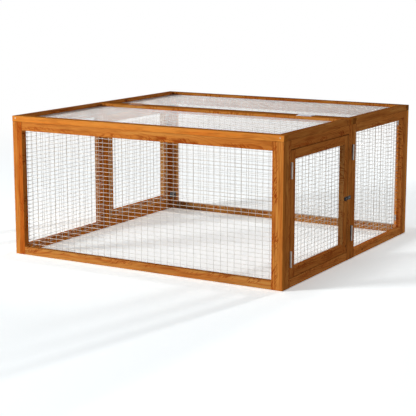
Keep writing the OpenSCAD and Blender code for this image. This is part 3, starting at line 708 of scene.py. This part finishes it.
# ---- Hinges ----------------------------------------------------------------------------------
# Steel butt hinges, bright zinc plated: rolled knuckles round a pin, and flat leaves held by small
# cross-head screws. The fold and door hinges' leaves lie in the joints, so only knuckles show.

SCREW_R = 0.0029
SCREW_H = 0.0009
SCREW_SIDES = 20
SCREW_DOME = ((1.0, 0.0), (0.97, 0.45), (0.84, 0.86), (0.68, 1.0))  # shares of radius and height
CROSS_ARM, CROSS_BAR, CROSS_DEPTH, CROSS_TAPER = 0.56, 0.15, 0.7, 0.8
hinge_zinc = zinc_material("Hinge zinc plate", (0.52, 0.51, 0.52), (0.36, 0.36, 0.38), 60.0, 0.95)
screw_zinc = zinc_material("Screw zinc plate", (0.62, 0.60, 0.55), (0.42, 0.40, 0.36), 400.0, 0.95)
# The door hinges are painted paler and warmer than the other zinc: painted light on knuckles that
# stand in shade.
door_zinc_painted_light = zinc_material("Door hinge zinc plate, painted light", (0.85, 0.76, 0.68), (0.66, 0.58, 0.51), 60.0,
                          0.2)
corner_zinc = zinc_material("Corner hinge zinc plate", (0.30, 0.31, 0.32), (0.20, 0.20, 0.21),
                            60.0, 0.95)
lid_leaf_zinc = zinc_material("Lid hinge zinc plate", (0.52, 0.51, 0.52), (0.36, 0.36, 0.38), 60.0,
                              0.95, stained_over=True)
lid_screw_zinc = zinc_material("Lid hinge screw plate", (0.62, 0.60, 0.55), (0.42, 0.40, 0.36),
                               400.0, 0.95, stained_over=True)
knuckle_zinc = zinc_material("Hinge zinc plate, dulled", (0.36, 0.34, 0.32), (0.24, 0.23, 0.22),
                             60.0, 0.95)

for name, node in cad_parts.items():
    if name.endswith("_fold_leaves"):
        set_material(node, knuckle_zinc)
    elif name.endswith("_door_leaves"):
        set_material(node, door_zinc_painted_light)
    elif name.endswith("_corner_leaves"):
        set_material(node, corner_zinc)
    elif name in ("front_lid_leaves", "rear_lid_front_leaves"):
        set_material(node, lid_leaf_zinc)
    elif name.endswith("_leaves"):
        set_material(node, hinge_zinc)


def screw_heads(name, body, material, spots, head_r=SCREW_R, head_h=SCREW_H):
    """Domed cross-head screws at spots, each a point on the surface and the way out of it."""
    dice = random.Random(name)
    shape = bmesh.new()
    arm, bar, sink = head_r * CROSS_ARM, head_r * CROSS_BAR, head_h * CROSS_DEPTH
    cross = [(bar, arm), (bar, bar), (arm, bar), (arm, -bar), (bar, -bar), (bar, -arm),
             (-bar, -arm), (-bar, -bar), (-arm, -bar), (-arm, bar), (-bar, bar), (-bar, arm)]

    def walls(lower, upper):
        for k in range(len(lower)):
            after = (k + 1) % len(lower)
            shape.faces.new((lower[k], lower[after], upper[after], upper[k]))

    for spot, out in spots:
        turn = Matrix.Translation(spot) @ out.to_track_quat("Z", "Y").to_matrix().to_4x4()
        turn = turn @ Matrix.Rotation(dice.uniform(0, math.tau), 4, "Z")
        rings = []
        for r, h in SCREW_DOME:
            rings.append([shape.verts.new(turn @ Vector((
                r * head_r * math.cos(math.tau * k / SCREW_SIDES),
                r * head_r * math.sin(math.tau * k / SCREW_SIDES), h * head_h)))
                for k in range(SCREW_SIDES)])
        for lower, upper in zip(rings, rings[1:]):
            walls(lower, upper)
        rim = [shape.verts.new(turn @ Vector((x, y, head_h))) for x, y in cross]
        pit = [shape.verts.new(turn @ Vector((x * CROSS_TAPER, y * CROSS_TAPER, head_h - sink)))
               for x, y in cross]
        edges = [shape.edges.get((rings[-1][k], rings[-1][(k + 1) % SCREW_SIDES]))
                 for k in range(SCREW_SIDES)]
        edges += [shape.edges.new((rim[k], rim[(k + 1) % len(rim)])) for k in range(len(rim))]
        bmesh.ops.triangle_fill(shape, use_beauty=True, edges=edges)
        walls(rim, pit)
        shape.faces.new(pit)
    bmesh.ops.recalc_face_normals(shape, faces=shape.faces)
    mesh = bpy.data.meshes.new(name)
    shape.to_mesh(mesh)
    shape.free()
    mesh.materials.append(material)
    screws = bpy.data.objects.new(name, mesh)
    bpy.context.scene.collection.objects.link(screws)
    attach(screws, body)


CORNER_PIN_X = 0.5737
CORNER_PIN_FRONT, CORNER_PIN_REAR = -0.56285, 0.55655
CORNER_LEAF_T = 0.0015
CORNER_SCREW_OFF = 0.01045
CORNER_SCREW_RISE = 0.00625

for panel, inward in (("front_panel", Y), ("rear_panel", -Y)):
    face_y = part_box(panel + "_stiles")[1 if inward.y > 0 else 0].y + inward.y * CORNER_LEAF_T
    spots = [(Vector((side * (CORNER_PIN_X - CORNER_SCREW_OFF), face_y, z + up)), inward)
             for side in (-1, 1) for z in CORNER_LEAF_LEVELS
             for up in (-CORNER_SCREW_RISE, CORNER_SCREW_RISE)]
    screw_heads(panel + "_corner_screws", panel, screw_zinc, spots)

for half, side, pin_y, away in (
        ("right_front", 1, CORNER_PIN_FRONT, 1), ("right_rear", 1, CORNER_PIN_REAR, -1),
        ("left_front", -1, CORNER_PIN_FRONT, 1), ("left_rear", -1, CORNER_PIN_REAR, -1)):
    face_x = side * (abs(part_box(half + "_stiles")[0 if side > 0 else 1].x) - CORNER_LEAF_T)
    spots = [(Vector((face_x, pin_y + away * CORNER_SCREW_OFF, z + up)), X * -side)
             for z in CORNER_LEAF_LEVELS for up in (-CORNER_SCREW_RISE, CORNER_SCREW_RISE)]
    screw_heads(half + "_corner_screws", half + "_half", screw_zinc, spots)

LID_LEAF_T = 0.0012
LID_LEAF_LENGTH = 0.065
LID_SCREW_OFF = 0.0117
LID_HINGE_X = 0.397
LID_PIN_MID_Y = -0.00315
LID_PIN_REAR_Z = 0.5338
lid_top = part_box("front_lid_long_rails")[1].z
rear_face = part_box("rear_panel_stiles")[1].y
screw_xs = [side * LID_HINGE_X + step * LID_LEAF_LENGTH / 3 for side in (-1, 1)
            for step in (-1, 0, 1)]
for name, body, finish, y, z, out in (
        ("front_lid_hinge_screws", "front_lid", lid_screw_zinc, LID_PIN_MID_Y - LID_SCREW_OFF,
         lid_top + LID_LEAF_T, Z),
        ("rear_lid_hinge_screws", "rear_lid", lid_screw_zinc, LID_PIN_MID_Y + LID_SCREW_OFF,
         lid_top + LID_LEAF_T, Z),
        ("rear_lid_back_screws", "rear_lid", screw_zinc, rear_face + LID_LEAF_T,
         LID_PIN_REAR_Z + LID_SCREW_OFF, Y),
        ("rear_panel_lid_screws", "rear_panel", screw_zinc, rear_face + LID_LEAF_T,
         LID_PIN_REAR_Z - LID_SCREW_OFF, Y)):
    screw_heads(name, body, finish, [(Vector((x, y, z)), out) for x in screw_xs])

# ---- Frame screws ----------------------------------------------------------------------------
# Steel screws hold the lids' corner joints, driven flush from the front and from behind. The
# stain has dulled their heads.

FRAME_SCREW_H = 0.0007
FRAME_SCREW_IN = 0.0152
FRAME_SCREW_Z = 0.5469
FRAME_SCREW_SUNK = 0.0002
old_screw = zinc_material("Stained over screw steel", (0.60, 0.46, 0.31), (0.45, 0.33, 0.21),
                          400.0, 0.3)
lid_low, lid_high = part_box("front_lid_long_rails")
for name, body, y, out in (("front_lid_frame_screws", "front_lid", lid_low.y, -Y),
                           ("rear_lid_frame_screws", "rear_lid", rear_face, Y)):
    spots = [(Vector((side * (lid_high.x - FRAME_SCREW_IN), y - out.y * FRAME_SCREW_SUNK,
                      FRAME_SCREW_Z)), out) for side in (-1, 1)]
    screw_heads(name, body, old_screw, spots, head_h=FRAME_SCREW_H)

# ---- Door bolts ------------------------------------------------------------------------------
# Small black steel slide bolts. The plate with its two loops is screwed to the door, the rod slides
# in it with its handle hanging down, and the keeper is screwed to the stile beside it.

black = bpy.data.materials.new("Black painted bolt steel")
black.use_nodes = True
tree = black.node_tree
bsdf = tree.nodes["Principled BSDF"]
object_place = put(tree, "TexCoord").outputs["Object"]
cloud = put(tree, "TexNoise", {"Vector": object_place, "Scale": 220.0, "Detail": 3.0}).outputs[0]
worn = ease(tree, cloud, 0.58, 0.72, 0.0, 0.4)
BLACK, WORN_BLACK = (0.011, 0.011, 0.013, 1), (0.06, 0.06, 0.065, 1)
tree.links.new(tint(tree, worn, BLACK, WORN_BLACK), bsdf.inputs["Base Color"])
tree.links.new(ease(tree, cloud, 0.3, 0.7, 0.45, 0.6), bsdf.inputs["Roughness"])
bump = put(tree, "Bump", {"Strength": 0.15, "Distance": 0.0002, "Height": cloud})
tree.links.new(bump.outputs[0], bsdf.inputs["Normal"])
bsdf.inputs["Specular IOR Level"].default_value = 0.25

BOLT_PLATE_T = 0.0012
BOLT_SCREW_R, BOLT_SCREW_H = 0.0011, 0.0005
BOLT_SCREW_IN_Y, BOLT_SCREW_IN_Z = 0.0025, 0.0018
for hand, door, half, outward in (("right", "right_door", "right_front_half", 1),
                                  ("left", "left_door", "left_rear_half", -1)):
    for part in ("plate", "rod", "keeper"):
        set_material(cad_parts[f"{hand}_bolt_{part}"], black)
    for part, body in (("plate", door), ("keeper", half)):
        low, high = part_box(f"{hand}_bolt_{part}")
        plate_x = (low.x if outward > 0 else high.x) + outward * BOLT_PLATE_T
        spots = [(Vector((plate_x, y, z)), X * outward)
                 for y in (low.y + BOLT_SCREW_IN_Y, high.y - BOLT_SCREW_IN_Y)
                 for z in (low.z + BOLT_SCREW_IN_Z, high.z - BOLT_SCREW_IN_Z)]
        screw_heads(f"{hand}_bolt_{part}_screws", body, black, spots,
                    head_r=BOLT_SCREW_R, head_h=BOLT_SCREW_H)

# ---- Studio ----------------------------------------------------------------------------------
# A white floor that glows into the white round it, soft lamps, and the camera, which stands where
# the fit to the photo's straight edges puts it.

FLOOR_HALF = 15.0
FLOOR_Z = -0.0006
FLOOR_LIGHT = (0.8, 0.8, 0.8, 1)
FLOOR_SHOWN = (2.08, 2.17, 2.21, 1)  # above 1, to show white under plain light
POOL_R, WHITE_R = 1.6, 4.5  # shadows show in full within the first, and fade out at the second
POOL_GLOW = 0.07
# Painted light: the floor beside the right wall glows more, which lightens the run's shadow there.
RIGHT_LIFT_FROM, RIGHT_LIFT_TO, RIGHT_SHADOW_LIFT = 0.64, 0.80, 0.12  # the floor beside the right wall glows more
mesh = bpy.data.meshes.new("studio_floor")
mesh.from_pydata([(FLOOR_HALF * x, FLOOR_HALF * y, FLOOR_Z)
                  for x, y in ((-1, -1), (1, -1), (1, 1), (-1, 1))], [], [(0, 1, 2, 3)])
floor = bpy.data.objects.new("studio_floor", mesh)
bpy.context.scene.collection.objects.link(floor)
floor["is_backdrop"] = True


def seen_directly(tree):
    """1 for what the camera, a reflection or glass sees, 0 for the light that falls on things."""
    path = put(tree, "LightPath").outputs
    seen = sums(tree, "MAXIMUM", path["Is Camera Ray"], path["Is Glossy Ray"])
    return sums(tree, "MAXIMUM", seen, path["Is Transmission Ray"])


white = bpy.data.materials.new("White floor")
white.use_nodes = True
tree = white.node_tree
tree.nodes.remove(tree.nodes["Principled BSDF"])
floor_place = put(tree, "TexCoord").outputs["Object"]
off_middle = vectors(tree, "LENGTH", floor_place)
to_right = put(tree, "SeparateXYZ", {0: floor_place}).outputs[0]
seen = seen_directly(tree)
glow = sums(tree, "ADD", ease(tree, off_middle, POOL_R, WHITE_R, POOL_GLOW, 1.0),
            ease(tree, to_right, RIGHT_LIFT_FROM, RIGHT_LIFT_TO, 0.0, RIGHT_SHADOW_LIFT))
glow = sums(tree, "MULTIPLY", seen, glow)
shown = tint(tree, ease(tree, off_middle, POOL_R, WHITE_R), FLOOR_SHOWN, (0, 0, 0, 1))
lit = put(tree, "BsdfDiffuse", {"Color": tint(tree, seen, FLOOR_LIGHT, shown)})
glowing = put(tree, "Emission", {"Color": (1, 1, 1, 1), "Strength": glow})
both = put(tree, "AddShader", {0: lit.outputs[0], 1: glowing.outputs[0]})
tree.links.new(both.outputs[0], tree.nodes["Material Output"].inputs["Surface"])
floor.data.materials.append(white)

SKY = 0.17
world = bpy.data.worlds.new("Studio")
bpy.context.scene.world = world
world.use_nodes = True
tree = world.node_tree
sky_strength = ease(tree, seen_directly(tree), 0.0, 1.0, SKY, 1.0)
tree.links.new(sky_strength, tree.nodes["Background"].inputs["Strength"])
tree.nodes["Background"].inputs["Color"].default_value = (1, 1, 1, 1)

RUN_MIDDLE = Vector((0, 0, 0.28))
LAMP_DISTANCE = 8.0


def lamp(name, azimuth, elevation, size, power):
    """A square soft lamp that looks at the run's middle, from the front at azimuth 0 and from the
    right at 90."""
    a, e = math.radians(azimuth), math.radians(elevation)
    back = Vector((math.sin(a) * math.cos(e), -math.cos(a) * math.cos(e), math.sin(e)))
    data = bpy.data.lights.new(name, "AREA")
    data.size = size
    data.energy = power
    held = bpy.data.objects.new(name, data)
    held.location = RUN_MIDDLE + back * LAMP_DISTANCE
    held.rotation_mode = "QUATERNION"
    held.rotation_quaternion = back.to_track_quat("Z", "Y")
    bpy.context.scene.collection.objects.link(held)


lamp("Key light, front left", -41, 8, size=2.0, power=590)
lamp("Rim light, behind", 164, 15, size=0.4, power=190)
lamp("Fill light, right", 80, 4, size=4.0, power=28)

camera = bpy.data.objects.new("Camera", bpy.data.cameras.new("Camera"))
bpy.context.scene.collection.objects.link(camera)
camera.location = (2.5265, -4.39775, 1.1168)
camera.rotation_euler = (math.radians(90 - 10.836), 0, math.radians(30.372))
camera.data.lens = 107.26
camera.data.sensor_width = 36
camera.data.clip_end = 100
bpy.context.scene.camera = camera
bpy.context.scene.view_settings.view_transform = "Standard"

low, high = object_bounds()
